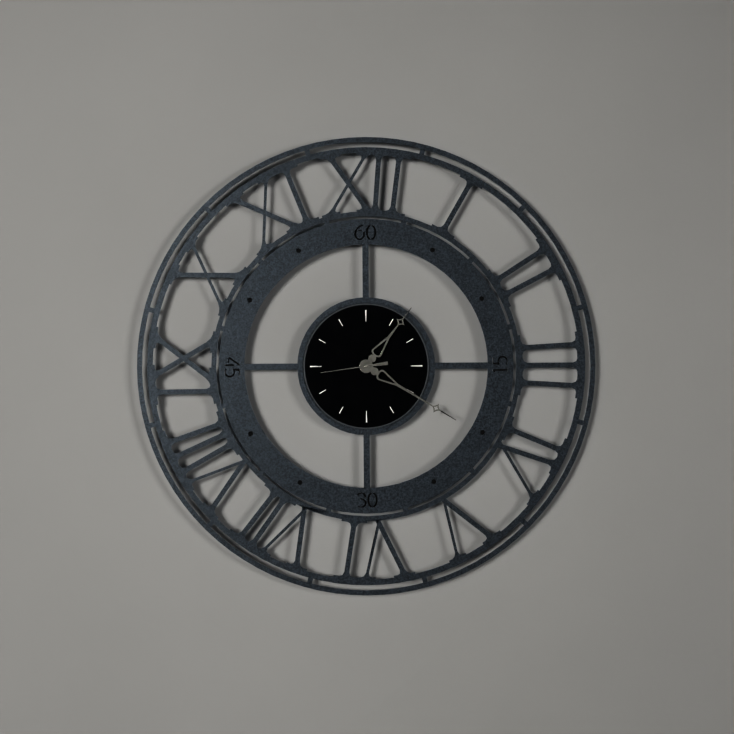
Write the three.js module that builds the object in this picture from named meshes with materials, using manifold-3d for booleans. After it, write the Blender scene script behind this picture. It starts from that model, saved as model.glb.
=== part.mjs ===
// Wall clock: a laser-cut steel face with Roman numerals, a small glossy dial disc in its middle,
// three ornate hands, and a battery quartz movement behind the disc.
//
// Millimetres. Everything is drawn as seen from the room: x to the right, y up, z out of the wall,
// with the wall at z = 0 and the hand arbor on the z axis. The clock group then turns that upright,
// so the finished object has +Z up and faces -Y.
import * as THREE from 'three';
import { mergeVertices } from 'three/addons/utils/BufferGeometryUtils.js';
import Module from 'manifold-3d';

const wasm = await Module();
wasm.setup();

// ---------------------------------------------------------------- driving dimensions

const GAP = 0.3;              // between pieces that touch
const RUNNING = 0.1;          // radial clearance of a turning piece
const MERGE = 1;              // how far joined outlines reach into each other
const CUT = 1;                // how far a cutter sticks out of what it cuts
const CHORD_ERROR = 0.2;      // how far the chords of a large circle may stand off its arc
const CORNER_SEGMENTS = 3;    // chords in a rounded corner of the case
const CENTRE = new THREE.Vector2();

// Steel face
const PLATE_BACK = 20.3;
const PLATE_THICKNESS = 2.5;
const OUTER_RING = { inner: 293.6, outer: 300 };
const OUTER_BAND = { inner: 279.5, outer: 286.8 };
const INNER_BAND = { inner: 196.4, outer: 202.6 };
const MINUTE_RING = { inner: 159.4, outer: 193 };
const CENTRE_RING = { inner: 83.2, outer: 90.2 };
const OUTER_TAB_WIDTH = 6.3;
const INNER_TAB_WIDTH = 6.8;
const SPOKE_WIDTH = 8;
const DOT_RADIUS = 3.2;
const MINUTE_MARK_RADIUS = 175.3;

// Numerals: widths of the strokes, and the serif slabs that run along both bands
const STROKE_WIDTH = { bar: 6.4, thick: 6.2, thin: 3.6 };
const SERIF_HALF_LENGTH = { bar: 16.6, thick: 14, thin: 12 };
const SERIF_HEIGHT = 2.6;
const SERIF_SEAT = 0.3;       // how far the foot of a bracket reaches into its serif
const BRACKET = 6.5;
const BRACKET_STEPS = 2;

// Each stroke: kind, then its angle at the outer and at the inner band, in degrees clockwise
// from the hour it stands for. The two strokes of a V meet in a point without a serif.
const NUMERALS = [
  { hour: 1, strokes: [['bar', 0, 0]] },
  { hour: 2, strokes: [['bar', -3, -3.1], ['bar', 3, 3.1]] },
  { hour: 3, strokes: [['bar', -5.6, -6.4], ['bar', 0, 0], ['bar', 5.6, 6.4]] },
  { hour: 4, strokes: [['bar', -6.3, -6], ['thick', -2.2, 1.1, 'v'], ['thin', 8.6, 0.5, 'v']] },
  { hour: 5, strokes: [['thick', -5.9, 0, 'v'], ['thin', 4.8, 0.4, 'v']] },
  { hour: 6, strokes: [['thick', -10.1, -4.2, 'v'], ['thin', 0.3, -4.3, 'v'], ['bar', 5.8, 4.7]] },
  {
    hour: 7,
    strokes: [['thick', -10.5, -6.3, 'v'], ['thin', -0.4, -6.5, 'v'], ['bar', 2.9, 2], ['bar', 6.7, 6.2]],
  },
  {
    hour: 8,
    strokes: [
      ['thick', -12.5, -7.8, 'v'], ['thin', -2.8, -7.3, 'v'],
      ['bar', 0.4, 0.4], ['bar', 4.9, 4.7], ['bar', 9.2, 8.7],
    ],
  },
  { hour: 9, strokes: [['bar', -6.7, -8.9], ['thick', -2.2, 9.3], ['thick', 8.1, -4.2]] },
  { hour: 10, strokes: [['thick', -4.1, 5.8], ['thin', 5.3, -7.3]] },
  { hour: 11, strokes: [['thick', -7.9, 3.7], ['thin', 2.1, -10.7], ['bar', 8, 8]] },
  { hour: 12, strokes: [['thick', -9.5, 0.8], ['thin', 0.2, -12.7], ['bar', 3.8, 3.6], ['bar', 9.3, 10]] },
];

// Stencil digits of the minute ring, drawn in a box one unit high and cut as narrow slots
const DIGIT_HEIGHT = 19.8;
const SLOT_WIDTH = { hairline: 1.3, stem: 2.3 };
const SLOT_CHORD = 22;        // degrees of arc in each chord of a digit
const MINUTE_LABELS = [
  { digits: '60', hour: 12, turn: 0, spacing: 15 },
  { digits: '15', hour: 3, turn: 90, spacing: 12 },
  { digits: '30', hour: 6, turn: 0, spacing: 14.4 },
  { digits: '45', hour: 9, turn: -90, spacing: 14.4 },
];

// Dial disc in the opening of the centre ring, the backing disc that joins the two, and the clamp
// that holds the movement. The dial and the foam tape both lie on the backing disc.
const TAPE = { inner: 84.2, thickness: 0.7 };
const TAPE_BACK = PLATE_BACK - GAP - TAPE.thickness;
const BACKING = { radius: 88, thickness: 1 };
const BACKING_BACK = TAPE_BACK - GAP - BACKING.thickness;
const DIAL = { radius: 82.2, thickness: 2.8, rimFoot: 80.5, rimTop: 81.7, rimHeight: 0.7, rimEdge: 0.1 };
const DIAL_FRONT = TAPE_BACK + DIAL.thickness;
const BUSH_RADIUS = 4;
const BUSH_BORE = 3.05;
const BUSH_END = 26.2;
const BUSH_HOLE_RADIUS = BUSH_RADIUS + GAP;
const RUBBER_WASHER = { radius: 9, thickness: 0.8 };
const BRASS_WASHER = { radius: 7.4, thickness: 0.6 };
const NUT = { acrossFlats: 12, thickness: 2 };

// Movement case
const CASE_SIZE = 56;
const CASE_CORNER = 4;
const CASE_WALL = 1.2;
const CASE_FRONT = BACKING_BACK - RUBBER_WASHER.thickness - 2 * GAP;
const COVER_BACK = 3;
const COVER_THICKNESS = 1.2;
const CASE_BACK = COVER_BACK + COVER_THICKNESS + GAP;
const CASE_INNER_FRONT = CASE_FRONT - CASE_WALL;
const BEARING_POST_RADIUS = 1;
const BATTERY = { radius: 7.1, length: 48.5, capRadius: 2.75, capLength: 1.4, rim: 0.6, y: -19.4, z: 8 };
const BATTERY_WELL = { width: 52, height: 15 };
const CONTACT = { sheet: 0.3, height: 7, width: 9, bow: 1.6 };
const KNOB = { radius: 4.5, ribs: 16, back: 0.8, thickness: 1.9, arborRadius: 1 };

// Stepping motor and electronics
const MAGNET = { radius: 3, back: 6.2, length: 2.4 };
const STATOR = { left: -20.5, right: -0.5, bottom: 3.6, top: 23, leg: 3, yokeTop: 14.8, waist: -3.2 };
const STATOR_HOLE_RADIUS = 3.7;
const STATOR_LEVEL = { back: 7.3, thickness: 0.8 };
const CORE = { width: 3, y: 19.5, back: 8.4, thickness: 0.8 };
const BOBBIN = { bore: 1.75, tubeRadius: 2.3, flangeRadius: 4.2, flange: 0.8, length: 12.4, x: -10.5 };
const BOARD = { width: 22, height: 10.5, corner: 1, thickness: 1, x: 14, y: 20.7, back: 6 };
const CRYSTAL = { radius: 1.5, length: 6, x: 18, y: 23 };
const CHIP = { radius: 3, height: 1.4, x: 8.5, y: 19.5 };

// Hands, from the wall outward, and their tubes
const HAND_THICKNESS = 0.8;
const HOUR_HAND = { length: 96.7, diamondAt: 73.2, back: 27.4, tubeRadius: 2.95, tubeBore: 2.1 };
const MINUTE_HAND = { length: 136.8, diamondAt: 106.3, back: 30.2, tubeRadius: 2, tubeBore: 0.8 };
const SECOND_HAND = { length: 59.8, tail: 28.4, back: 33.2, thickness: 0.5, arborRadius: 0.7 };
const SECOND_HUB = { radius: 2.5, back: 32.4, thickness: 2 };
const EYE_RADIUS = 9;
const BEAD = { radius: 5.2, at: 12.8 };
const NECK_WIDTH = 2.4;
const LOOP = { base: 17.4, widest: 23, halfWidth: 7.3, point: 48, tipHalfWidth: 1.7 };
const LOOP_OPENING = { base: 19.6, widest: 23.8, halfWidth: 5, point: 43, tipHalfWidth: 0.3 };
const LOOP_ROUNDING = { rise: 0.35, base: 0.65, shoulder: 1.05 };  // handles of its round end
const BLADE_WIDTH = { loop: 3.6, diamond: 1.6 };
const DIAMOND = { halfLength: 7.2, halfWidth: 7, waist: 0.24, openingScale: 0.52, lapFrom: 0.8 };
const NEEDLE_WIDTH = { diamond: 1.5, tip: 0.6 };
const SECOND_NEEDLE_WIDTH = { hub: 1.6, tip: 0.8 };
const SECOND_TAIL_WIDTH = { hub: 2.2, end: 4.8 };
const HAND_FIT = 0.2;         // between a hand and the tube that it is pressed on
const TUBE_PROUD = 0.8;       // how far a tube shows in front of its hand
const SHOWN_TIME = { hour: 38.1, minute: 121.3, second: 262.2 };  // degrees clockwise from 12

// Gear train. Teeth, module and level of each toothed rim; the leaders are the second wheel
// (driven by the rotor) and the cannon pinion (driven through its slipping clutch, or by the knob).
const TOOTH = { addendum: 0.7, dedendum: 0.95, tipShare: 0.16, rootShare: 0.46 };
const RIM_THICKNESS = 0.6;
const ARBOR_RADIUS = 0.5;
const ARBOR_START = CASE_BACK;
const ARBOR_PROUD = 0.3;
const TUBE_LAP = 0.2;          // joined length of a tube and its pinion
const TRAIN = {
  secondWheel: { teeth: 30, module: 0.4, back: 6.3 },
  fifthPinion: { teeth: 6, module: 0.4, back: 5.9, thickness: 1.3 },
  fifthWheel: { teeth: 36, module: 1 / 3, back: 5 },
  rotorPinion: { teeth: 6, module: 1 / 3, back: 4.8, thickness: 1 },
  secondPinion: { teeth: 6, module: 1 / 3, back: 6.6, thickness: 2 },
  thirdWheel: { teeth: 45, module: 1 / 3, back: 7.6 },
  thirdPinion: { teeth: 6, module: 17 / 54, back: 7.9, thickness: 2.1 },
  centreWheel: { teeth: 48, module: 17 / 54, back: 9 },
  cannonPinion: { teeth: 8, module: 0.44, back: 9.95, thickness: 1.4 },
  motionWheel: { teeth: 24, module: 0.44, back: 10.4 },
  knobPinion: { teeth: 8, module: 0.44, back: 10.1, thickness: 1.2 },
  motionPinion: { teeth: 8, module: 0.352, back: 10.7, thickness: 2.1 },
  hourWheel: { teeth: 32, module: 0.352, back: 11.8 },
};
const FIFTH_BEARING = 160;    // directions, in degrees anticlockwise from +x
const ROTOR_BEARING = 120;
const THIRD_BEARING = 40;
const MOTION_BEARING = -20;
const KNOB_BEARING = 10;

// Fixings behind the face
const HANGER = { width: 64, height: 22, foot: 12, sheet: 2, radius: 176, webBack: 0.8 };
const KEYHOLE = { headRadius: 5, slotRadius: 2.4, rise: 9 };
const STANDOFF_RADIUS = 176;
const STANDOFF_ANGLES = { left: 225, right: 135 };
const POST_RADIUS = 4;
const RUBBER_FOOT = { radius: 7, length: 7, chamfer: 1, socketDepth: 4 };

// ---------------------------------------------------------------- small helpers

const degrees = THREE.MathUtils.degToRad;

function clockPoint(radius, angle) {
  return new THREE.Vector2(radius * Math.sin(degrees(angle)), radius * Math.cos(degrees(angle)));
}

function compassPoint(from, distance, angle) {
  return new THREE.Vector2(
    from.x + distance * Math.cos(degrees(angle)),
    from.y + distance * Math.sin(degrees(angle)),
  );
}

function slab(shape, back, thickness, curveSegments = 12) {
  const geometry = new THREE.ExtrudeGeometry(shape, { depth: thickness, bevelEnabled: false, curveSegments });
  return geometry.translate(0, 0, back);
}

function segmentsFor(radius) {
  return 4 * Math.ceil(Math.PI / Math.acos(1 - CHORD_ERROR / radius) / 4);
}

function circleShape(radius, centre = new THREE.Vector2()) {
  const shape = new THREE.Shape();
  shape.absarc(centre.x, centre.y, radius, 0, 2 * Math.PI);
  return shape;
}

function ringShape(outer, inner) {
  const shape = circleShape(outer);
  shape.holes.push(circleShape(inner));
  return shape;
}

function disc(radius, back, thickness, centre, segments = 32) {
  return slab(circleShape(radius, centre), back, thickness, segments / 2);
}

function ring(outer, inner, back, thickness, segments = segmentsFor(outer)) {
  return slab(ringShape(outer, inner), back, thickness, segments / 2);
}

function tube(outer, inner, back, front, segments = 24) {
  return ring(outer, inner, back, front - back, segments);
}

function block(width, height, depth, x, y, back) {
  return new THREE.BoxGeometry(width, height, depth).translate(x, y, back + depth / 2);
}

function roundedRectangle(width, height, corner) {
  const shape = new THREE.Shape();
  const x = width / 2 - corner;
  const y = height / 2 - corner;
  shape.absarc(x, y, corner, 0, Math.PI / 2);
  shape.absarc(-x, y, corner, Math.PI / 2, Math.PI);
  shape.absarc(-x, -y, corner, Math.PI, 1.5 * Math.PI);
  shape.absarc(x, -y, corner, 1.5 * Math.PI, 2 * Math.PI);
  return shape;
}

function radialBar(angle, width, from, to) {
  const half = width / 2;
  const shape = new THREE.Shape([
    new THREE.Vector2(-half, from),
    new THREE.Vector2(half, from),
    new THREE.Vector2(half, to),
    new THREE.Vector2(-half, to),
  ]);
  return slab(shape, PLATE_BACK, PLATE_THICKNESS).rotateZ(-degrees(angle));
}

function toSolid(geometry) {
  const bare = geometry.clone();
  bare.deleteAttribute('normal');
  bare.deleteAttribute('uv');
  const merged = mergeVertices(bare);
  return new wasm.Manifold(new wasm.Mesh({
    numProp: 3,
    vertProperties: Float32Array.from(merged.attributes.position.array),
    triVerts: Uint32Array.from(merged.index.array),
  }));
}

function toGeometry(solid) {
  const mesh = solid.getMesh();
  const geometry = new THREE.BufferGeometry();
  geometry.setAttribute('position', new THREE.BufferAttribute(mesh.vertProperties, 3));
  geometry.setIndex(new THREE.BufferAttribute(mesh.triVerts, 1));
  geometry.computeVertexNormals();
  return geometry;
}

function join(geometries) {
  return geometries.map(toSolid).reduce((whole, piece) => whole.add(piece));
}

function carve(solid, cutters) {
  return cutters.map(toSolid).reduce((whole, piece) => whole.subtract(piece), solid);
}

// ---------------------------------------------------------------- materials

const MATERIALS = {
  powderCoat: { color: 0x3a424b, roughness: 0.55, metalness: 0.2 },
  gloss: { color: 0x0a0c10, roughness: 0.08, metalness: 0 },
  silver: { color: 0xc9ccc8, roughness: 0.3, metalness: 1 },
  brass: { color: 0xb8923f, roughness: 0.3, metalness: 1 },
  steel: { color: 0x8d9196, roughness: 0.35, metalness: 1 },
  blackPlastic: { color: 0x17181a, roughness: 0.5, metalness: 0 },
  whitePlastic: { color: 0xe6e4dc, roughness: 0.45, metalness: 0 },
  rubber: { color: 0x1a1a1a, roughness: 0.9, metalness: 0 },
  tape: { color: 0x22262a, roughness: 0.8, metalness: 0 },
  board: { color: 0x2c6b3c, roughness: 0.5, metalness: 0 },
  copper: { color: 0xb5622f, roughness: 0.35, metalness: 1 },
  batteryWrap: { color: 0x3d5a80, roughness: 0.35, metalness: 0.2 },
};

const clock = new THREE.Group();

function addPiece(name, geometry, material) {
  const piece = new THREE.Mesh(geometry, new THREE.MeshStandardMaterial(MATERIALS[material]));
  piece.name = name;
  clock.add(piece);
}

// ---------------------------------------------------------------- steel face

// Where a straight stroke crosses the circle of this radius, and how much it leans there.
function strokeAt(start, end, radius) {
  const run = end.clone().sub(start);
  const a = run.lengthSq();
  const b = 2 * start.dot(run);
  const c = start.lengthSq() - radius * radius;
  const share = (-b - Math.sqrt(b * b - 4 * a * c)) / (2 * a);
  const point = start.clone().addScaledVector(run, share);
  const lean = Math.abs(run.dot(point)) / (run.length() * point.length());
  return { angle: THREE.MathUtils.radToDeg(Math.atan2(point.x, point.y)), lean };
}

// One stroke of a numeral, flared by concave brackets where it meets its serifs.
function strokeShape(kind, outerAngle, innerAngle, pointed) {
  const outerRadius = OUTER_BAND.inner - SERIF_HEIGHT + SERIF_SEAT;
  const innerRadius = INNER_BAND.outer + SERIF_HEIGHT - SERIF_SEAT;
  const start = clockPoint(outerRadius, outerAngle);
  const end = clockPoint(innerRadius, innerAngle);
  const bracket = [];
  for (let step = 0; step <= BRACKET_STEPS; step += 1) {
    const turn = (step / BRACKET_STEPS) * Math.PI / 2;
    bracket.push({ rise: BRACKET * (1 - Math.cos(turn)), flare: BRACKET * (1 - Math.sin(turn)) });
  }
  const stations = bracket.map(({ rise, flare }) => [outerRadius - rise, flare]);
  if (pointed) {
    stations.push([INNER_BAND.outer - MERGE, 0]);
  } else {
    stations.push(...bracket.reverse().map(({ rise, flare }) => [innerRadius + rise, flare]));
  }
  const side = (sign) => stations.map(([radius, flare]) => {
    const { angle, lean } = strokeAt(start, end, radius);
    const half = STROKE_WIDTH[kind] / 2 / lean + flare;
    return clockPoint(radius, angle + sign * THREE.MathUtils.radToDeg(half / radius));
  });
  return new THREE.Shape([...side(-1), ...side(1).reverse()]);
}

function serifShape(angle, halfLength, inner, outer) {
  const middle = Math.PI / 2 - degrees(angle);
  const spread = halfLength / inner;
  const shape = new THREE.Shape();
  shape.absarc(0, 0, outer, middle - spread, middle + spread, false);
  shape.absarc(0, 0, inner, middle + spread, middle - spread, true);
  return shape;
}

function numeralPieces({ hour, strokes }) {
  const hourAngle = hour * 30;
  return strokes.flatMap(([kind, outerAngle, innerAngle, point]) => {
    const outer = hourAngle + outerAngle;
    const inner = hourAngle + innerAngle;
    const length = SERIF_HALF_LENGTH[kind];
    const shapes = [
      strokeShape(kind, outer, inner, point),
      serifShape(outer, length, OUTER_BAND.inner - SERIF_HEIGHT, OUTER_BAND.inner + MERGE),
    ];
    if (!point) {
      shapes.push(serifShape(inner, length, INNER_BAND.outer - MERGE, INNER_BAND.outer + SERIF_HEIGHT));
    }
    return shapes.map((shape) => slab(shape, PLATE_BACK, PLATE_THICKNESS, 1));
  });
}

// Centre lines of the stencil digits, in a box one unit high.
function arc(x, y, radiusX, radiusY, from, to) {
  const curve = new THREE.EllipseCurve(x, y, radiusX, radiusY, degrees(from), degrees(to), to < from);
  return curve.getPoints(Math.ceil(Math.abs(to - from) / SLOT_CHORD));
}

function line(x0, y0, x1, y1) {
  return [new THREE.Vector2(x0, y0), new THREE.Vector2(x1, y1)];
}

const DIGITS = {
  0: [arc(0, 0, 0.28, 0.47, 80, -80), arc(0, 0, 0.28, 0.47, 100, 260)],
  1: [line(0, 0.47, 0, -0.47), line(-0.14, 0.34, 0.03, 0.48), line(-0.14, -0.48, 0.14, -0.48)],
  3: [arc(0, 0.27, 0.25, 0.21, 165, -28), arc(-0.03, -0.2, 0.31, 0.28, 95, -130)],
  4: [line(0.24, 0.1, 0.24, -0.48), line(0.23, 0.48, -0.25, -0.21), line(-0.27, -0.235, 0.12, -0.235)],
  5: [arc(-0.03, -0.17, 0.3, 0.31, 128, -132), line(-0.21, 0.04, -0.16, 0.48), line(-0.19, 0.46, 0.22, 0.48)],
  6: [
    [...arc(0.3, -0.11, 0.59, 0.58, 96, 176), ...arc(0, -0.11, 0.29, 0.36, 180, 382)],
    line(-0.1, 0.13, 0.15, 0.1),
  ],
};

// A slot along a centre line, wider where it runs upright, as a pen with a flat nib would draw it.
function slotShape(centreLine) {
  const points = centreLine.map((point) => point.clone().multiplyScalar(DIGIT_HEIGHT));
  const sides = points.map((point, index) => {
    const before = points[Math.max(index - 1, 0)];
    const after = points[Math.min(index + 1, points.length - 1)];
    const along = after.clone().sub(before).normalize();
    const width = THREE.MathUtils.lerp(SLOT_WIDTH.hairline, SLOT_WIDTH.stem, Math.abs(along.y));
    const across = new THREE.Vector2(-along.y, along.x).multiplyScalar(width / 2);
    return [point.clone().add(across), point.clone().sub(across)];
  });
  return new THREE.Shape([...sides.map(([left]) => left), ...sides.map(([, right]) => right).reverse()]);
}

function minuteLabelCutters({ digits, hour, turn, spacing }) {
  const middle = clockPoint(MINUTE_MARK_RADIUS, hour * 30);
  return [...digits].flatMap((digit, index) => DIGITS[digit].map((centreLine) => {
    const shift = (index - (digits.length - 1) / 2) * spacing;
    return slab(slotShape(centreLine), PLATE_BACK - CUT, PLATE_THICKNESS + 2 * CUT)
      .translate(shift, 0, 0)
      .rotateZ(degrees(turn))
      .translate(middle.x, middle.y, 0);
  }));
}

function dotCutters() {
  const cutters = [];
  for (let hour = 1; hour < 12; hour += 1) {
    if (hour % 3 !== 0) {
      const centre = clockPoint(MINUTE_MARK_RADIUS, hour * 30);
      cutters.push(disc(DOT_RADIUS, PLATE_BACK - CUT, PLATE_THICKNESS + 2 * CUT, centre, 16));
    }
  }
  return cutters;
}

function facePlate() {
  const rings = [OUTER_RING, OUTER_BAND, INNER_BAND, MINUTE_RING, CENTRE_RING].map(
    ({ inner, outer }) => ring(outer, inner, PLATE_BACK, PLATE_THICKNESS),
  );
  const bars = [];
  for (let hour = 0; hour < 12; hour += 1) {
    const between = hour * 30 + 15;
    bars.push(radialBar(between, OUTER_TAB_WIDTH, OUTER_BAND.outer - MERGE, OUTER_RING.inner + MERGE));
    bars.push(radialBar(between, INNER_TAB_WIDTH, MINUTE_RING.outer - MERGE, INNER_BAND.inner + MERGE));
  }
  for (let quarter = 0; quarter < 4; quarter += 1) {
    bars.push(radialBar(quarter * 90, SPOKE_WIDTH, CENTRE_RING.outer - MERGE, MINUTE_RING.inner + MERGE));
  }
  const sheet = join([...rings, ...bars, ...NUMERALS.flatMap(numeralPieces)]);
  return toGeometry(carve(sheet, [...dotCutters(), ...MINUTE_LABELS.flatMap(minuteLabelCutters)]));
}

// ---------------------------------------------------------------- fixings behind the face

// A hat-section strip with a keyhole in its web, its two feet spot-welded to the face.
function hangerBracket() {
  const footFront = PLATE_BACK - GAP;
  const footBack = footFront - HANGER.sheet;
  const webFront = HANGER.webBack + HANGER.sheet;
  const half = HANGER.width / 2;
  const web = half - HANGER.foot;
  const inside = web - HANGER.sheet;
  const outline = [
    [-half, footFront], [-half, footBack], [-web, footBack], [-web, HANGER.webBack],
    [web, HANGER.webBack], [web, footBack], [half, footBack], [half, footFront],
    [inside, footFront], [inside, webFront], [-inside, webFront], [-inside, footFront],
  ];
  const profile = new THREE.Shape(outline.map(([x, z]) => new THREE.Vector2(x, z)));
  const strip = slab(profile, -HANGER.height / 2, HANGER.height)
    .rotateX(Math.PI / 2)
    .translate(0, HANGER.radius, 0);
  const depth = HANGER.sheet + 2 * CUT;
  const back = HANGER.webBack - CUT;
  const low = HANGER.radius - KEYHOLE.rise / 2;
  return toGeometry(carve(toSolid(strip), [
    disc(KEYHOLE.headRadius, back, depth, new THREE.Vector2(0, low)),
    block(2 * KEYHOLE.slotRadius, KEYHOLE.rise, depth, 0, HANGER.radius, back),
    disc(KEYHOLE.slotRadius, back, depth, new THREE.Vector2(0, low + KEYHOLE.rise), 20),
  ]));
}

function standoffPost(angle) {
  const back = RUBBER_FOOT.length - RUBBER_FOOT.socketDepth + GAP;
  return disc(POST_RADIUS, back, PLATE_BACK - GAP - back, clockPoint(STANDOFF_RADIUS, angle), 24);
}

// A rubber cap with a socket for the end of its post.
function rubberFoot(angle) {
  const { radius, length, chamfer, socketDepth } = RUBBER_FOOT;
  const socket = POST_RADIUS + RUNNING;
  const floor = length - socketDepth;
  const profile = [
    [0, 0], [radius - chamfer, 0], [radius, chamfer], [radius - chamfer, length],
    [socket, length], [socket, floor], [0, floor],
  ].map(([across, along]) => new THREE.Vector2(across, along));
  const centre = clockPoint(STANDOFF_RADIUS, angle);
  return new THREE.LatheGeometry(profile, 24).rotateX(Math.PI / 2).translate(centre.x, centre.y, 0);
}

// ---------------------------------------------------------------- dial disc and its clamp

// A disc with a low rim, whose inner side slopes down to the face of the dial.
function dialDisc() {
  const { radius, rimFoot, rimTop, rimHeight, rimEdge } = DIAL;
  const top = DIAL_FRONT + rimHeight;
  const profile = [
    [BUSH_HOLE_RADIUS, TAPE_BACK], [radius, TAPE_BACK], [radius, top - rimEdge], [rimTop, top],
    [rimFoot, DIAL_FRONT], [BUSH_HOLE_RADIUS, DIAL_FRONT], [BUSH_HOLE_RADIUS, TAPE_BACK],
  ].map(([across, along]) => new THREE.Vector2(across, along));
  return new THREE.LatheGeometry(profile, segmentsFor(OUTER_RING.outer)).rotateX(Math.PI / 2);
}

function backingDisc() {
  return ring(BACKING.radius, BUSH_HOLE_RADIUS, BACKING_BACK, BACKING.thickness);
}

function adhesiveRing() {
  return ring(BACKING.radius - GAP, TAPE.inner, TAPE_BACK, TAPE.thickness);
}

function washer({ radius, thickness }, back) {
  return ring(radius, BUSH_HOLE_RADIUS, back, thickness, 28);
}

function hexNut(back) {
  const corner = NUT.acrossFlats / 2 / Math.cos(Math.PI / 6);
  const corners = [0, 60, 120, 180, 240, 300].map((angle) => clockPoint(corner, angle));
  const shape = new THREE.Shape(corners);
  shape.holes.push(circleShape(BUSH_RADIUS + RUNNING));
  return slab(shape, back, NUT.thickness);
}

// ---------------------------------------------------------------- gears

// Straight-flanked teeth, one of them centred on the direction given as the phase (in radians).
function gearShape({ teeth, module }, phase, bore) {
  const tip = module * (teeth / 2 + TOOTH.addendum);
  const root = module * (teeth / 2 - TOOTH.dedendum);
  const pitch = (2 * Math.PI) / teeth;
  const corners = [
    [root, -TOOTH.rootShare / 2], [tip, -TOOTH.tipShare / 2],
    [tip, TOOTH.tipShare / 2], [root, TOOTH.rootShare / 2],
  ];
  const points = [];
  for (let tooth = 0; tooth < teeth; tooth += 1) {
    corners.forEach(([radius, share]) => {
      const angle = phase + (tooth + share) * pitch;
      points.push(new THREE.Vector2(radius * Math.cos(angle), radius * Math.sin(angle)));
    });
  }
  const shape = new THREE.Shape(points);
  if (bore > 0) {
    shape.holes.push(circleShape(bore));
  }
  return shape;
}

function thicknessOf(rim) {
  return rim.thickness ?? RIM_THICKNESS;
}

function frontOf(rim) {
  return rim.back + thicknessOf(rim);
}

function toothedRim(rim, phase = 0, bore = 0) {
  return slab(gearShape(rim, phase, bore), rim.back, thicknessOf(rim), 12);
}

// The phase that puts a gap of the pinion on the line of centres where the wheel has a tooth.
// The wheel has a tooth at its own direction zero and lies in the given direction.
function meshPhase(pinion, wheel, direction) {
  const toWheel = degrees(direction);
  const toPinion = toWheel + Math.PI;
  return toWheel + (Math.PI + toPinion * wheel.teeth) / pinion.teeth;
}

function pitchDistance(wheel, pinion) {
  return (wheel.module * (wheel.teeth + pinion.teeth)) / 2;
}

function arbor(back, front, radius = ARBOR_RADIUS) {
  return disc(radius, back, front - back, CENTRE, 12);
}

function placed(solid, axis) {
  return toGeometry(solid).translate(axis.x, axis.y, 0);
}

const FIFTH_AXIS = compassPoint(CENTRE, pitchDistance(TRAIN.secondWheel, TRAIN.fifthPinion), FIFTH_BEARING);
const ROTOR_AXIS = compassPoint(FIFTH_AXIS, pitchDistance(TRAIN.fifthWheel, TRAIN.rotorPinion), ROTOR_BEARING);
const THIRD_AXIS = compassPoint(CENTRE, pitchDistance(TRAIN.thirdWheel, TRAIN.secondPinion), THIRD_BEARING);
const MOTION_AXIS = compassPoint(CENTRE, pitchDistance(TRAIN.motionWheel, TRAIN.cannonPinion), MOTION_BEARING);
const KNOB_AXIS = compassPoint(MOTION_AXIS, pitchDistance(TRAIN.motionWheel, TRAIN.knobPinion), KNOB_BEARING);

function rotor() {
  const phase = meshPhase(TRAIN.rotorPinion, TRAIN.fifthWheel, ROTOR_BEARING + 180);
  return placed(join([
    toothedRim(TRAIN.rotorPinion, phase),
    disc(MAGNET.radius, MAGNET.back, MAGNET.length, CENTRE, 24),
    arbor(ARBOR_START, MAGNET.back + MAGNET.length + ARBOR_PROUD),
  ]), ROTOR_AXIS);
}

function fifthWheel() {
  const phase = meshPhase(TRAIN.fifthPinion, TRAIN.secondWheel, FIFTH_BEARING + 180);
  return placed(join([
    toothedRim(TRAIN.fifthWheel),
    toothedRim(TRAIN.fifthPinion, phase),
    arbor(ARBOR_START, frontOf(TRAIN.fifthPinion) + ARBOR_PROUD),
  ]), FIFTH_AXIS);
}

function secondWheel() {
  const phase = meshPhase(TRAIN.secondPinion, TRAIN.thirdWheel, THIRD_BEARING);
  return toGeometry(join([
    toothedRim(TRAIN.secondWheel),
    toothedRim(TRAIN.secondPinion, phase),
    arbor(ARBOR_START, SECOND_HUB.back + SECOND_HUB.thickness - GAP, SECOND_HAND.arborRadius),
  ]));
}

function thirdWheel() {
  const phase = meshPhase(TRAIN.thirdPinion, TRAIN.centreWheel, THIRD_BEARING + 180);
  return placed(join([
    toothedRim(TRAIN.thirdWheel),
    toothedRim(TRAIN.thirdPinion, phase),
    arbor(ARBOR_START, frontOf(TRAIN.thirdPinion) + ARBOR_PROUD),
  ]), THIRD_AXIS);
}

// Rides on the cannon tube and drags it round by friction.
function centreWheel() {
  return toothedRim(TRAIN.centreWheel, 0, MINUTE_HAND.tubeRadius + RUNNING);
}

function cannonPinion() {
  const phase = meshPhase(TRAIN.cannonPinion, TRAIN.motionWheel, MOTION_BEARING);
  const { tubeRadius, tubeBore, back } = MINUTE_HAND;
  const pinion = TRAIN.cannonPinion;
  return toGeometry(join([
    toothedRim(pinion, phase, tubeBore),
    tube(tubeRadius, tubeBore, frontOf(TRAIN.secondPinion) + GAP, pinion.back + TUBE_LAP),
    tube(tubeRadius, tubeBore, frontOf(pinion) - TUBE_LAP, back + HAND_THICKNESS + TUBE_PROUD),
  ]));
}

function motionWheel() {
  const phase = meshPhase(TRAIN.motionPinion, TRAIN.hourWheel, MOTION_BEARING + 180);
  return placed(join([
    toothedRim(TRAIN.motionWheel),
    toothedRim(TRAIN.motionPinion, phase),
    arbor(frontOf(TRAIN.centreWheel) + GAP, frontOf(TRAIN.motionPinion) + ARBOR_PROUD),
  ]), MOTION_AXIS);
}

function hourWheel() {
  const { tubeRadius, tubeBore, back } = HOUR_HAND;
  return toGeometry(join([
    toothedRim(TRAIN.hourWheel, 0, tubeBore),
    tube(tubeRadius, tubeBore, TRAIN.hourWheel.back, back + HAND_THICKNESS + TUBE_PROUD),
  ]));
}

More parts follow.
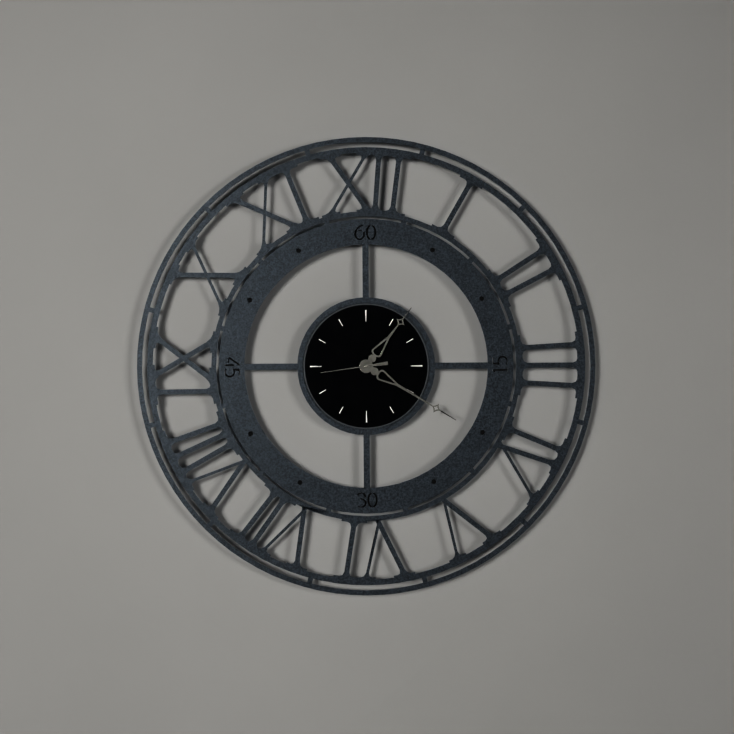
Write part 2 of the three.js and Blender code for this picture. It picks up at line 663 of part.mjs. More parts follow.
function settingKnob() {
  const phase = meshPhase(TRAIN.knobPinion, TRAIN.motionWheel, KNOB_BEARING + 180);
  const grip = gearShape({ teeth: KNOB.ribs, module: (2 * KNOB.radius) / KNOB.ribs }, 0, 0);
  return placed(join([
    slab(grip, KNOB.back, KNOB.thickness),
    arbor(KNOB.back + KNOB.thickness / 2, frontOf(TRAIN.knobPinion) + ARBOR_PROUD, KNOB.arborRadius),
    toothedRim(TRAIN.knobPinion, phase),
  ]), KNOB_AXIS);
}

// ---------------------------------------------------------------- movement case

function bearingPost(axis, pinion) {
  const back = frontOf(pinion) + ARBOR_PROUD + GAP;
  return disc(BEARING_POST_RADIUS, back, CASE_INNER_FRONT + CASE_WALL / 2 - back, axis, 16);
}

function frontCase() {
  const inner = CASE_SIZE - 2 * CASE_WALL;
  const outside = roundedRectangle(CASE_SIZE, CASE_SIZE, CASE_CORNER);
  const inside = roundedRectangle(inner, inner, CASE_CORNER - CASE_WALL);
  const bushBack = CASE_FRONT - CASE_WALL / 2;
  const boreBack = CASE_INNER_FRONT - CUT;
  const box = toSolid(slab(outside, CASE_BACK, CASE_FRONT - CASE_BACK, CORNER_SEGMENTS));
  const hollow = slab(inside, CASE_BACK - CUT, CASE_INNER_FRONT - CASE_BACK + CUT, CORNER_SEGMENTS);
  const inserts = join([
    disc(BUSH_RADIUS, bushBack, BUSH_END - bushBack, CENTRE, 40),
    bearingPost(THIRD_AXIS, TRAIN.thirdPinion),
    bearingPost(MOTION_AXIS, TRAIN.motionPinion),
    bearingPost(KNOB_AXIS, TRAIN.knobPinion),
  ]);
  const bore = disc(BUSH_BORE, boreBack, BUSH_END + CUT - boreBack, CENTRE, 40);
  return toGeometry(carve(carve(box, [hollow]).add(inserts), [bore]));
}

function backCover() {
  const outline = roundedRectangle(CASE_SIZE, CASE_SIZE, CASE_CORNER);
  const plate = slab(outline, COVER_BACK, COVER_THICKNESS, CORNER_SEGMENTS);
  const depth = COVER_THICKNESS + 2 * CUT;
  return toGeometry(carve(toSolid(plate), [
    block(BATTERY_WELL.width, BATTERY_WELL.height, depth, 0, BATTERY.y, COVER_BACK - CUT),
    disc(KNOB.arborRadius + RUNNING, COVER_BACK - CUT, depth, KNOB_AXIS, 20),
  ]));
}

function battery() {
  const { radius, length, capRadius, capLength, rim, y, z } = BATTERY;
  const half = length / 2;
  const profile = [
    [0, -half], [radius - rim, -half], [radius, rim - half], [radius, half - rim], [radius - rim, half],
    [capRadius, half], [capRadius, half + capLength], [0, half + capLength],
  ].map(([across, along]) => new THREE.Vector2(across, along));
  return new THREE.LatheGeometry(profile, 24).rotateZ(-Math.PI / 2).translate(0, y, z);
}

// A flat strip at the button end of the battery.
function positiveContact() {
  const x = BATTERY.length / 2 + BATTERY.capLength + GAP + CONTACT.sheet / 2;
  return block(CONTACT.sheet, CONTACT.width, CONTACT.height, x, BATTERY.y, BATTERY.z - CONTACT.height / 2);
}

// A bowed leaf that presses on the flat end of the battery.
function negativeContact() {
  const touch = -BATTERY.length / 2 - GAP;
  const end = touch - CONTACT.bow;
  const half = CONTACT.width / 2;
  const leaf = new THREE.Shape();
  leaf.moveTo(end, -half);
  leaf.quadraticCurveTo(touch + CONTACT.bow, 0, end, half);
  leaf.lineTo(end - CONTACT.sheet, half);
  leaf.quadraticCurveTo(touch + CONTACT.bow - CONTACT.sheet, 0, end - CONTACT.sheet, -half);
  return slab(leaf, BATTERY.z - CONTACT.height / 2, CONTACT.height).translate(0, BATTERY.y, 0);
}

// ---------------------------------------------------------------- stepping motor and electronics

function stator() {
  const { left, right, bottom, top, leg, yokeTop, waist } = STATOR;
  const shape = new THREE.Shape([
    [left, bottom], [waist, bottom], [waist, yokeTop - leg], [right, yokeTop], [right, top],
    [right - leg, top], [right - leg, yokeTop], [left + leg, yokeTop], [left + leg, top], [left, top],
  ].map(([x, y]) => new THREE.Vector2(x, y)));
  shape.holes.push(circleShape(STATOR_HOLE_RADIUS, ROTOR_AXIS));
  return slab(shape, STATOR_LEVEL.back, STATOR_LEVEL.thickness, 16);
}

function coilCore() {
  const width = STATOR.right - STATOR.left;
  return block(width, CORE.width, CORE.thickness, STATOR.left + width / 2, CORE.y, CORE.back);
}

function aroundCore(profile) {
  const points = profile.map(([across, along]) => new THREE.Vector2(across, along));
  return new THREE.LatheGeometry([...points, points[0].clone()], 20)
    .rotateZ(-Math.PI / 2)
    .translate(BOBBIN.x, CORE.y, CORE.back + CORE.thickness / 2);
}

function coilBobbin() {
  const { bore, tubeRadius, flangeRadius, flange, length } = BOBBIN;
  const end = length / 2;
  const inner = end - flange;
  return aroundCore([
    [bore, -end], [flangeRadius, -end], [flangeRadius, -inner], [tubeRadius, -inner],
    [tubeRadius, inner], [flangeRadius, inner], [flangeRadius, end], [bore, end],
  ]);
}

function coilWinding() {
  const end = BOBBIN.length / 2 - BOBBIN.flange - GAP;
  const inner = BOBBIN.tubeRadius + GAP;
  const outer = BOBBIN.flangeRadius - GAP;
  return aroundCore([[inner, -end], [outer, -end], [outer, end], [inner, end]]);
}

function circuitBoard() {
  const shape = roundedRectangle(BOARD.width, BOARD.height, BOARD.corner);
  return slab(shape, BOARD.back, BOARD.thickness, CORNER_SEGMENTS).translate(BOARD.x, BOARD.y, 0);
}

function quartzCrystal() {
  const z = BOARD.back + BOARD.thickness + GAP + CRYSTAL.radius;
  return new THREE.CylinderGeometry(CRYSTAL.radius, CRYSTAL.radius, CRYSTAL.length, 20)
    .rotateZ(Math.PI / 2)
    .translate(CRYSTAL.x, CRYSTAL.y, z);
}

// The drop of black resin over the chip.
function chipDome() {
  const steps = 5;
  const profile = [new THREE.Vector2(0, 0)];
  for (let step = 0; step <= steps; step += 1) {
    const turn = (step / steps) * Math.PI / 2;
    profile.push(new THREE.Vector2(CHIP.radius * Math.cos(turn), CHIP.height * Math.sin(turn)));
  }
  profile[steps + 1].x = 0;
  return new THREE.LatheGeometry(profile, 20)
    .rotateX(Math.PI / 2)
    .translate(CHIP.x, CHIP.y, BOARD.back + BOARD.thickness + GAP);
}

// ---------------------------------------------------------------- hands

// Outer or inner outline of the open loop, as a drop with its point towards the tip of the hand.
function loopShape({ base, widest, halfWidth, point, tipHalfWidth }) {
  const shape = new THREE.Shape();
  const rise = base + (widest - base) * LOOP_ROUNDING.rise;
  const low = halfWidth * LOOP_ROUNDING.base;
  const high = halfWidth * LOOP_ROUNDING.shoulder;
  shape.moveTo(0, base);
  shape.bezierCurveTo(low, base, high, rise, halfWidth, widest);
  shape.lineTo(tipHalfWidth, point);
  shape.lineTo(-tipHalfWidth, point);
  shape.lineTo(-halfWidth, widest);
  shape.bezierCurveTo(-high, rise, -low, base, 0, base);
  return shape;
}

// A star of four points with hollow sides.
function diamondShape(middle, halfLength, halfWidth) {
  const shape = new THREE.Shape();
  const { waist } = DIAMOND;
  shape.moveTo(0, middle - halfLength);
  [[1, -1, 1, 0], [1, 1, 0, 1], [-1, 1, -1, 0], [-1, -1, 0, -1]].forEach(([sideX, sideY, endX, endY]) => {
    shape.quadraticCurveTo(
      sideX * halfWidth * waist, middle + sideY * halfLength * waist,
      endX * halfWidth, middle + endY * halfLength,
    );
  });
  return shape;
}

function taper(from, to, fromWidth, toWidth) {
  return new THREE.Shape([
    new THREE.Vector2(-fromWidth / 2, from),
    new THREE.Vector2(fromWidth / 2, from),
    new THREE.Vector2(toWidth / 2, to),
    new THREE.Vector2(-toWidth / 2, to),
  ]);
}

function ornateHand({ length, diamondAt, back, tubeRadius }, angle) {
  const { halfLength, halfWidth, openingScale, lapFrom } = DIAMOND;
  const bead = new THREE.Vector2(0, BEAD.at);
  const lap = halfLength * lapFrom;
  const outline = [
    circleShape(EYE_RADIUS),
    circleShape(BEAD.radius, bead),
    taper(BEAD.at, LOOP.base + MERGE, NECK_WIDTH, NECK_WIDTH),
    loopShape(LOOP),
    taper(LOOP.point - MERGE, diamondAt - lap, BLADE_WIDTH.loop, BLADE_WIDTH.diamond),
    diamondShape(diamondAt, halfLength, halfWidth),
    taper(diamondAt + lap, length, NEEDLE_WIDTH.diamond, NEEDLE_WIDTH.tip),
  ];
  const openings = [
    circleShape(tubeRadius + HAND_FIT),
    loopShape(LOOP_OPENING),
    diamondShape(diamondAt, halfLength * openingScale, halfWidth * openingScale),
  ];
  const body = join(outline.map((shape) => slab(shape, back, HAND_THICKNESS, 16)));
  const cutters = openings.map((shape) => slab(shape, back - CUT, HAND_THICKNESS + 2 * CUT, 16));
  return toGeometry(carve(body, cutters)).rotateZ(-degrees(angle));
}

function secondHand(angle) {
  const { length, tail, back, thickness, arborRadius } = SECOND_HAND;
  const body = join([
    slab(taper(0, length, SECOND_NEEDLE_WIDTH.hub, SECOND_NEEDLE_WIDTH.tip), back, thickness),
    slab(taper(-tail, 0, SECOND_TAIL_WIDTH.end, SECOND_TAIL_WIDTH.hub), back, thickness),
    disc(SECOND_HUB.radius, SECOND_HUB.back, SECOND_HUB.thickness, CENTRE, 32),
  ]);
  const bore = disc(arborRadius + HAND_FIT, SECOND_HUB.back - CUT, SECOND_HUB.thickness + 2 * CUT, CENTRE, 24);
  return toGeometry(carve(body, [bore])).rotateZ(-degrees(angle));
}

// ---------------------------------------------------------------- assembly

addPiece('face_plate', facePlate(), 'powderCoat');
addPiece('hanger_bracket', hangerBracket(), 'powderCoat');
Object.entries(STANDOFF_ANGLES).forEach(([side, angle]) => {
  addPiece(`standoff_post_${side}`, standoffPost(angle), 'powderCoat');
  addPiece(`rubber_foot_${side}`, rubberFoot(angle), 'rubber');
});
addPiece('backing_disc', backingDisc(), 'powderCoat');
addPiece('adhesive_ring', adhesiveRing(), 'tape');
addPiece('dial_disc', dialDisc(), 'gloss');

addPiece('movement_front_case', frontCase(), 'blackPlastic');
addPiece('movement_back_cover', backCover(), 'blackPlastic');
addPiece('rubber_washer', washer(RUBBER_WASHER, CASE_FRONT + GAP), 'rubber');
addPiece('brass_washer', washer(BRASS_WASHER, DIAL_FRONT + GAP), 'brass');
addPiece('hex_nut', hexNut(DIAL_FRONT + 2 * GAP + BRASS_WASHER.thickness), 'brass');
addPiece('battery', battery(), 'batteryWrap');
addPiece('positive_contact', positiveContact(), 'steel');
addPiece('negative_contact', negativeContact(), 'steel');

addPiece('circuit_board', circuitBoard(), 'board');
addPiece('quartz_crystal', quartzCrystal(), 'steel');
addPiece('chip_dome', chipDome(), 'blackPlastic');
addPiece('stator', stator(), 'steel');
addPiece('coil_core', coilCore(), 'steel');
addPiece('coil_bobbin', coilBobbin(), 'whitePlastic');
addPiece('coil_winding', coilWinding(), 'copper');

addPiece('rotor', rotor(), 'steel');
addPiece('fifth_wheel', fifthWheel(), 'whitePlastic');
addPiece('second_wheel', secondWheel(), 'whitePlastic');
addPiece('third_wheel', thirdWheel(), 'whitePlastic');
addPiece('centre_wheel', centreWheel(), 'whitePlastic');
addPiece('cannon_pinion', cannonPinion(), 'brass');
addPiece('motion_wheel', motionWheel(), 'whitePlastic');
addPiece('hour_wheel', hourWheel(), 'brass');
addPiece('setting_knob', settingKnob(), 'whitePlastic');

addPiece('hour_hand', ornateHand(HOUR_HAND, SHOWN_TIME.hour), 'silver');
addPiece('minute_hand', ornateHand(MINUTE_HAND, SHOWN_TIME.minute), 'silver');
addPiece('second_hand', secondHand(SHOWN_TIME.second), 'silver');

clock.rotation.x = Math.PI / 2;

export default clock;
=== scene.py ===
"""Wall clock: looks, stage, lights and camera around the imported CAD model.

Metres, in the frame of the model: +X right, +Z up, the clock faces -Y and the wall is the plane y = 0.
"""

import math

import bmesh
import bpy
from mathutils import Matrix, Vector


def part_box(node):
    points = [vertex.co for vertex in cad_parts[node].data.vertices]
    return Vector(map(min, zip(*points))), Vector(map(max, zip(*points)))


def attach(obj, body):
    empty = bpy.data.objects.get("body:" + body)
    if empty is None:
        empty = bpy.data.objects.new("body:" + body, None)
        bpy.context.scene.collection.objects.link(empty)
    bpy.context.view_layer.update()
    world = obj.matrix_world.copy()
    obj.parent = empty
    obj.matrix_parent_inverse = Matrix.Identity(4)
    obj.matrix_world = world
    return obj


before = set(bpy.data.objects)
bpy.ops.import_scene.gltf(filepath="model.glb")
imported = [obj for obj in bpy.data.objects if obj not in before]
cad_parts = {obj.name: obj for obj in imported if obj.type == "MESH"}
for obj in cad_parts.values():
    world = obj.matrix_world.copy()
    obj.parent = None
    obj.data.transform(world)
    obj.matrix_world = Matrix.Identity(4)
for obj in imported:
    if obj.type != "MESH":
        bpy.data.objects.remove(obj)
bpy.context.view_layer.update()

MM = 0.001
DEGREES_PER_HOUR = 30

# Clock hands at rest, in degrees clockwise from 12, for the direction of their brushing
HAND_ANGLES = {"hour_hand": 38.1, "minute_hand": 121.3, "second_hand": 262.2}

# Painted shade: the end of a hand's needle is darkened, from this distance off the axis outwards
NEEDLE_START = {"hour_hand": 89.0 * MM, "minute_hand": 113.5 * MM}
NEEDLE_FADE = 1.0 * MM
NEEDLE_SHADE_TONE = (0.10, 0.10, 0.10, 1)

# Dial: where its satin rim starts, over how far it sets in, and how high it stands over the face
RIM_FOOT_RADIUS = 80.3 * MM
RIM_FADE = 0.1 * MM
RIM_HEIGHT = 0.7 * MM

# Hour batons: bars on the dial that widen outwards, with sides a little lower than their ridge
BATON_HEIGHT = 0.45 * MM
BATON_SIDE_HEIGHT = 0.85 * BATON_HEIGHT
BATON_SEAT = 0.05 * MM
BATON_BEVEL = 0.125 * MM
LONG_BATON = {"inner": 58.4 * MM, "outer": 73.7 * MM, "inner_width": 1.0 * MM, "outer_width": 2.2 * MM}
SHORT_BATON = {"inner": 61.0 * MM, "outer": 71.2 * MM, "inner_width": 1.2 * MM, "outer_width": 1.5 * MM}

# Black felt patches behind the cut digits and dots of the minute ring: painted shade, dark pads where the
# wall behind them lies in shade
MINUTE_MARK_RADIUS = 175.3 * MM
LABEL_PATCH = {"half_width": 16.5 * MM, "half_height": 9.2 * MM, "corner": 2.5 * MM}
DOT_PATCH = {"half_width": 5.5 * MM, "half_height": 5.5 * MM, "corner": 5.4 * MM}
PATCH_THICKNESS = 0.5 * MM
PATCH_BEVEL = 0.15 * MM
PATCH_GAP = 0.05 * MM
PATCH_CORNER_STEPS = 8

# Edges of the CAD pieces: which count as edges, and the radius of each piece's edges in millimetres
WELD_DISTANCE = 0.002 * MM
FLAT_ANGLE = math.radians(0.5)
EDGE_ANGLE = math.radians(30)
SMOOTH_ANGLE = math.radians(38)
EDGE_RADIUS = {
    "face_plate": 0.25, "dial_disc": 0.08, "backing_disc": 0.2,
    "hour_hand": 0.28, "minute_hand": 0.28, "second_hand": 0.14,
    "movement_front_case": 0.4, "movement_back_cover": 0.3, "setting_knob": 0.2, "hanger_bracket": 0.2,
    "hex_nut": 0.15, "brass_washer": 0.12, "battery": 0.3, "rubber_foot_left": 0.4, "rubber_foot_right": 0.4,
    "standoff_post_left": 0.3, "standoff_post_right": 0.3,
}
DEFAULT_EDGE_RADIUS = 0.06
SAME_MATERIAL = -1

# Where the battery's coppery band sets in and is full, as shares of its length
BATTERY_BAND = (0.68, 0.69)

# Camera: straight on, a little off the arbor and rolled by a fraction of a degree
CAMERA_DISTANCE = 2.2
FRAME_WIDTH = 0.9608
CAMERA_OFFSET = Vector((1.05 * MM, 0, -1.05 * MM))
CAMERA_ROLL = math.radians(-0.35)
SENSOR_MM = 36.0

# Stage: how far it reaches to each side and up, the height of its floor, and where its wall lies
STAGE_HALF = 3.0
FLOOR_Z = -1.6
WALL_Y = 0.5 * MM
SURROUND = (0.62, 0.61, 0.60, 1)

# Lights in front of the wall: the direction from the clock towards each and its distance, what it aims at,
# its width, power and colour, and the angle of its beam
WIDE_BEAM = math.pi
FRONT_LIGHTS = {
    "key": {
        "direction": (-0.395, -1, 0.097), "distance": 6.5, "aim": (-0.42, 0, 0.02),
        "width": 1.8, "power": 14.9, "colour": (1, 0.985, 0.955), "beam": math.radians(33),
    },
    "fill": {
        "direction": (0.647, -1, 0.03), "distance": 4.0, "aim": (0, 0, 0),
        "width": 1.1, "power": 50, "colour": (1, 0.99, 0.97), "beam": WIDE_BEAM,
    },
}

# Lights behind the wall, for the floor there and the back of the clock
WHITE = (1, 1, 1)
REAR_BEAM = math.radians(45)
REAR_LIGHTS = {
    "rear_floor": {"at": (0, 2.6, 2.4), "aim": (0, 2.6, 0), "width": 3.0, "power": 70, "beam": WIDE_BEAM},
    "rear_left": {"at": (-2.0, 2.6, 0.7), "aim": (0, 0, 0.1), "width": 2.2, "power": 20, "beam": REAR_BEAM},
    "rear_right": {"at": (2.1, 2.2, 0.4), "aim": (0, 0, 0.1), "width": 2.2, "power": 15, "beam": REAR_BEAM},
}

# Display gamma: below 1 it deepens the shadows
CONTRAST = 0.6


# ---------------------------------------------------------------- shader helpers

def add(tree, kind, settings=None, **inputs):
    """Adds a shader node. An input given as a socket is linked to it, any other value is set on it."""
    node = tree.nodes.new("ShaderNode" + kind)
    for name, value in (settings or {}).items():
        setattr(node, name, value)
    for name, value in inputs.items():
        socket = node.inputs[name.replace("_", " ")]
        if isinstance(value, bpy.types.NodeSocket):
            tree.links.new(value, socket)
        else:
            socket.default_value = value
    return node


def material(name):
    """A new empty material, with its node tree."""
    made = bpy.data.materials.new(name)
    made.use_nodes = True
    made.node_tree.nodes.clear()
    return made, made.node_tree


def surface(tree, shader):
    """Makes a shader node the surface of the material."""
    tree.links.new(shader.outputs[0], add(tree, "OutputMaterial").inputs["Surface"])


def place(tree):
    """The position on the piece in metres, which moves along with the piece."""
    return add(tree, "TexCoord").outputs["Object"]


def noise(tree, where, size, detail=2.0, roughness=0.5):
    """Noise whose features are about size metres across."""
    node = add(tree, "TexNoise", Vector=where, Scale=1 / size, Detail=detail, Roughness=roughness)
    return node.outputs["Fac"]


def spread(tree, value, low, high, start=0.3, end=0.7):
    """Stretches a value from start..end to low..high, and holds it there beyond both ends."""
    node = add(tree, "MapRange", Value=value, From_Min=start, From_Max=end, To_Min=low, To_Max=high)
    return node.outputs["Result"]


def tint(tree, value, dark, light, start=0.3, end=0.7):
    """A colour between dark and light."""
    node = add(tree, "ValToRGB", Fac=value)
    stops = node.color_ramp.elements
    stops[0].position, stops[1].position = start, end
    stops[0].color, stops[1].color = (*dark, 1), (*light, 1)
    return node.outputs["Color"]


def relief(tree, height, depth, strength=1.0, under=None):
    """A bump of depth metres, on top of another bump if one is given."""
    node = add(tree, "Bump", Height=height, Distance=depth, Strength=strength)
    if under:
        tree.links.new(under, node.inputs["Normal"])
    return node.outputs["Normal"]


def streaks(tree, degrees, length, width):
    """Fine parallel scratches that run along the direction at degrees clockwise from 12."""
    turned = add(tree, "Mapping", Vector=place(tree), Rotation=(0, math.radians(degrees), 0))
    stretched = add(tree, "Mapping", Vector=turned.outputs[0], Scale=(1 / width, 1 / width, 1 / length))
    return add(tree, "TexNoise", Vector=stretched.outputs[0], Scale=1.0, Detail=3.0).outputs["Fac"]


def from_axis(tree):
    """Distance from the axis of the hands in metres."""
    flat = add(tree, "VectorMath", {"operation": "MULTIPLY"}, Vector=place(tree))
    flat.inputs[1].default_value = (1, 0, 1)
    return add(tree, "VectorMath", {"operation": "LENGTH"}, Vector=flat.outputs[0]).outputs["Value"]


# ---------------------------------------------------------------- materials

def powder_coat():
    """Dark blue-grey powder coat with a fine orange peel and sparse lighter specks."""
    made, tree = material("powder_coat_blue_grey")
    where = place(tree)
    peel = noise(tree, where, 2.2 * MM, 4)
    speck = noise(tree, where, 0.9 * MM, 2)
    cloud = noise(tree, where, 40 * MM, 3)
    colour = tint(tree, peel, (0.008, 0.0105, 0.0135), (0.055, 0.066, 0.080), 0.34, 0.66)
    specks = add(tree, "MixRGB", {"blend_type": "ADD"}, Fac=spread(tree, speck, 0, 0.65, 0.55, 0.72),
                 Color1=colour, Color2=(0.05, 0.054, 0.058, 1))
    bumps = relief(tree, speck, 0.08 * MM, 0.9, relief(tree, peel, 0.3 * MM, 0.9))
    shader = add(tree, "BsdfPrincipled", Base_Color=specks.outputs[0],
                 Roughness=spread(tree, cloud, 0.36, 0.42), Normal=bumps)
    shader.inputs["Specular IOR Level"].default_value = 0.42
    shader.inputs["Specular Tint"].default_value = (0.78, 0.89, 1.0, 1)
    surface(tree, shader)
    return made


def gloss_black():
    """Polished black dial with faint dust, and a satin rim."""
    made, tree = material("gloss_black")
    where = place(tree)
    rim = spread(tree, from_axis(tree), 0, 1, RIM_FOOT_RADIUS, RIM_FOOT_RADIUS + RIM_FADE)
    dust = noise(tree, where, 0.5 * MM, 2)
    smear = noise(tree, where, 22 * MM, 4)
    face = tint(tree, dust, (0.0040, 0.0045, 0.0055), (0.0080, 0.0085, 0.0100), 0.5, 0.8)
    satin = tint(tree, dust, (0.095, 0.106, 0.116), (0.135, 0.148, 0.160))
    colour = add(tree, "MixRGB", Fac=rim, Color1=face, Color2=satin)
    polish = spread(tree, smear, 0.07, 0.13)
    rough = add(tree, "MapRange", Value=rim, To_Min=polish, To_Max=0.42)
    surface(tree, add(tree, "BsdfPrincipled", Base_Color=colour.outputs[0], Roughness=rough.outputs[0],
                      Normal=relief(tree, smear, 0.02 * MM, 0.2)))
    return made


def paint_needle_shade(tree, colour, hand):
    """Paints shade along the needle of a hand by darkening its colour. The second hand has no such needle."""
    if hand not in NEEDLE_START:
        return colour
    start = NEEDLE_START[hand]
    needle = spread(tree, from_axis(tree), 0, 1, start, start + NEEDLE_FADE)
    dark = add(tree, "MixRGB", {"blend_type": "MULTIPLY"}, Fac=needle, Color1=colour, Color2=NEEDLE_SHADE_TONE)
    return dark.outputs[0]


def hand_face(hand):
    """Dull brushed nickel, with the brushing along the hand, and painted shade darkening its needle."""
    made, tree = material("brushed_nickel_" + hand)
    brush = streaks(tree, HAND_ANGLES[hand], 14 * MM, 0.16 * MM)
    cloud = noise(tree, place(tree), 9 * MM, 3)
    colour = tint(tree, brush, (0.155, 0.155, 0.144), (0.245, 0.244, 0.228))
    surface(tree, add(tree, "BsdfPrincipled", Base_Color=paint_needle_shade(tree, colour, hand), Metallic=1.0,
                      Roughness=spread(tree, cloud, 0.6, 0.7), Normal=relief(tree, brush, 0.01 * MM, 0.5)))
    return made


def hand_edge(hand):
    """Polished nickel on the bevelled edges of a hand, with painted shade darkening its needle."""
    made, tree = material("polished_nickel_" + hand)
    wear = noise(tree, place(tree), 2.2 * MM, 4)
    colour = tint(tree, wear, (0.52, 0.52, 0.48), (0.78, 0.78, 0.74))
    surface(tree, add(tree, "BsdfPrincipled", Base_Color=paint_needle_shade(tree, colour, hand), Metallic=1.0,
                      Roughness=spread(tree, wear, 0.2, 0.36), Normal=relief(tree, wear, 0.01 * MM, 0.3)))
    return made


def baton_paint():
    """White enamel of the hour batons."""
    made, tree = material("white_enamel")
    where = place(tree)
    grain = noise(tree, where, 0.25 * MM, 2)
    colour = tint(tree, noise(tree, where, 3 * MM, 3), (0.80, 0.80, 0.77), (0.90, 0.90, 0.88))
    surface(tree, add(tree, "BsdfPrincipled", Base_Color=colour, Roughness=spread(tree, grain, 0.3, 0.42),
                      Normal=relief(tree, grain, 0.01 * MM, 0.3)))
    return made


def moulded_plastic(name, dark, light, rough, texture=0.6 * MM, depth=0.03 * MM):
    """Moulded plastic with a spark-eroded texture and faint rubbing."""
    made, tree = material(name)
    where = place(tree)
    grain = noise(tree, where, texture, 3, 0.6)
    rub = noise(tree, where, 14 * MM, 4)
    surface(tree, add(tree, "BsdfPrincipled", Base_Color=tint(tree, rub, dark, light),
                      Roughness=spread(tree, rub, rough - 0.07, rough + 0.07),
                      Normal=relief(tree, grain, depth, 0.7)))
    return made


def rubber():
    """Black rubber with a chalky bloom."""
    made, tree = material("black_rubber")
    where = place(tree)
    bloom = noise(tree, where, 5 * MM, 5, 0.6)
    pores = noise(tree, where, 0.3 * MM, 2)
    colour = tint(tree, bloom, (0.012, 0.012, 0.012), (0.034, 0.033, 0.031))
    surface(tree, add(tree, "BsdfPrincipled", Base_Color=colour, Roughness=spread(tree, bloom, 0.7, 0.86),
                      Normal=relief(tree, pores, 0.03 * MM, 0.6)))
    return made


def shade_felt():
    """Black needled felt, as painted shade: a near-black sheet where only shade falls."""
    made, tree = material("painted_shade_felt")
    tangle = add(tree, "TexNoise", Vector=place(tree), Scale=1 / (0.6 * MM), Detail=4.0, Distortion=2.5)
    fibres = tangle.outputs["Fac"]
    # painted shade: near-black colour for the pads behind the cut digits and dots
    colour = tint(tree, fibres, (0.004, 0.004, 0.004), (0.013, 0.013, 0.014))
    surface(tree, add(tree, "BsdfPrincipled", Base_Color=colour, Roughness=0.95,
                      Normal=relief(tree, fibres, 0.12 * MM, 0.8)))
    return made


def foam_tape():
    """Grey closed-cell foam."""
    made, tree = material("grey_foam")
    cells = add(tree, "TexVoronoi", Vector=place(tree), Scale=1 / (0.5 * MM)).outputs["Distance"]
    colour = tint(tree, cells, (0.05, 0.05, 0.052), (0.11, 0.11, 0.115), 0, 0.8)
    surface(tree, add(tree, "BsdfPrincipled", Base_Color=colour, Roughness=0.9,
                      Normal=relief(tree, cells, 0.1 * MM, 0.7)))
    return made


def turned_metal(name, dark, light, rough, tarnish=4 * MM):
    """Metal with fine scratches in every direction and darker tarnish in patches."""
    made, tree = material(name)
    where = place(tree)
    patches = noise(tree, where, tarnish, 4, 0.55)
    scratches = noise(tree, where, 0.2 * MM, 2)
    surface(tree, add(tree, "BsdfPrincipled", Base_Color=tint(tree, patches, dark, light), Metallic=1.0,
                      Roughness=spread(tree, patches, rough + 0.12, rough - 0.05),
                      Normal=relief(tree, scratches, 0.006 * MM, 0.5)))
    return made


def battery_wrap():
    """Plain printed foil: a coppery band at the cap end of a charcoal sleeve."""
    low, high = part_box("battery")
    made, tree = material("battery_sleeve")
    where = place(tree)
    along = add(tree, "SeparateXYZ", Vector=where).outputs["X"]
    length = high.x - low.x
    band_start, band_full = [low.x + share * length for share in BATTERY_BAND]
    band = spread(tree, along, 0, 1, band_start, band_full)
    scuff = noise(tree, where, 3 * MM, 5, 0.6)
    sleeve = tint(tree, scuff, (0.016, 0.017, 0.019), (0.030, 0.031, 0.034))
    copper = tint(tree, scuff, (0.17, 0.100, 0.062), (0.27, 0.165, 0.105))
    colour = add(tree, "MixRGB", Fac=band, Color1=sleeve, Color2=copper)
    surface(tree, add(tree, "BsdfPrincipled", Base_Color=colour.outputs[0], Metallic=0.35,
                      Roughness=spread(tree, scuff, 0.26, 0.42), Normal=relief(tree, scuff, 0.02 * MM, 0.2)))
    return made


def circuit_board():
    """Green solder mask over faint copper traces."""
    made, tree = material("solder_mask")
    where = place(tree)
    traces = add(tree, "TexBrick", {"offset": 0.5}, Vector=where, Scale=260.0, Mortar_Size=0.06)
    traces.inputs["Color1"].default_value = (0.010, 0.052, 0.026, 1)
    traces.inputs["Color2"].default_value = (0.014, 0.064, 0.032, 1)
    traces.inputs["Mortar"].default_value = (0.024, 0.098, 0.046, 1)
    surface(tree, add(tree, "BsdfPrincipled", Base_Color=traces.outputs["Color"],
                      Roughness=spread(tree, noise(tree, where, 2 * MM), 0.28, 0.4),
                      Normal=relief(tree, traces.outputs["Fac"], 0.03 * MM, 0.5)))
    return made


def copper_winding():
    """Fine enamelled wire wound round the bobbin."""
    made, tree = material("enamelled_copper")
    wave = add(tree, "TexWave", {"bands_direction": "X"}, Vector=place(tree), Scale=900.0, Distortion=1.2,
               Detail=1.0)
    turns = wave.outputs["Fac"]
    colour = tint(tree, turns, (0.25, 0.075, 0.03), (0.62, 0.24, 0.11), 0, 1)
    surface(tree, add(tree, "BsdfPrincipled", Base_Color=colour, Metallic=0.9,
                      Roughness=spread(tree, turns, 0.34, 0.22, 0, 1),
                      Normal=relief(tree, turns, 0.08 * MM, 0.8)))
    return made


SLOT_MATERIALS = {
    "powder_coat": powder_coat(),
    "gloss_black": gloss_black(),
    "rubber": rubber(),
    "foam_tape": foam_tape(),
    "case_plastic": moulded_plastic("black_case_plastic", (0.014, 0.014, 0.015), (0.024, 0.024, 0.025), 0.5),
    "gear_plastic": moulded_plastic("natural_gear_plastic", (0.44, 0.43, 0.395), (0.54, 0.53, 0.49), 0.4,
                                    texture=0.4 * MM, depth=0.01 * MM),
    "brass": turned_metal("brass", (0.50, 0.36, 0.13), (0.72, 0.55, 0.24), 0.26),
    "spring_steel": turned_metal("spring_steel", (0.36, 0.35, 0.33), (0.56, 0.55, 0.53), 0.3),
    "magnet": turned_metal("sintered_magnet", (0.07, 0.07, 0.075), (0.13, 0.13, 0.135), 0.5, tarnish=1 * MM),
    "battery_wrap": battery_wrap(),
    "board": circuit_board(),
    "copper": copper_winding(),
}


# ---------------------------------------------------------------- CAD pieces

